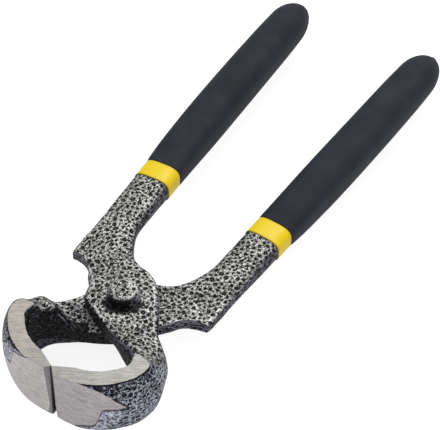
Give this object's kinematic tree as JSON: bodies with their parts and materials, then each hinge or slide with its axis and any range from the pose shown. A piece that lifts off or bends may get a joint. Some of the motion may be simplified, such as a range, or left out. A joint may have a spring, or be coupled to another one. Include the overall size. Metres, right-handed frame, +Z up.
{
  "type": "end cutting nippers",
  "caption": "End cutting nippers: crossed forged levers on a rivet, wide ground jaws closing on a straight edge, sleeved handles with bright collars.",
  "frame": {"origin": "centre of the tool's length and width, on the plane of the jaws' lower side faces", "axes": "+Y from the jaws to the ends of the grips, +X to the right when the jaws point at the viewer's feet and the upper lever is on top, +Z up along the rivet"},
  "size_m": [0.0692, 0.2003, 0.022],
  "materials": {
    "hammered_paint": "hammertone silver on black, ground bright at the jaws",
    "yellow_vinyl": "satin",
    "black_vinyl": "matte with a soft sheen"
  },
  "bodies": {
    "bottom_half": {"bottom_lever": "hammered_paint", "rivet": "hammered_paint", "right_collar": "yellow_vinyl", "right_grip": "black_vinyl"},
    "top_half": {"top_lever": "hammered_paint", "left_collar": "yellow_vinyl", "left_grip": "black_vinyl"}
  },
  "joints": [
    {"name": "pivot", "type": "hinge", "parent": "bottom_half", "child": "top_half", "pos_m": [0, -0.0619, 0.011], "axis": [0, 0, 1], "range_deg": [0, 36]}
  ]
}
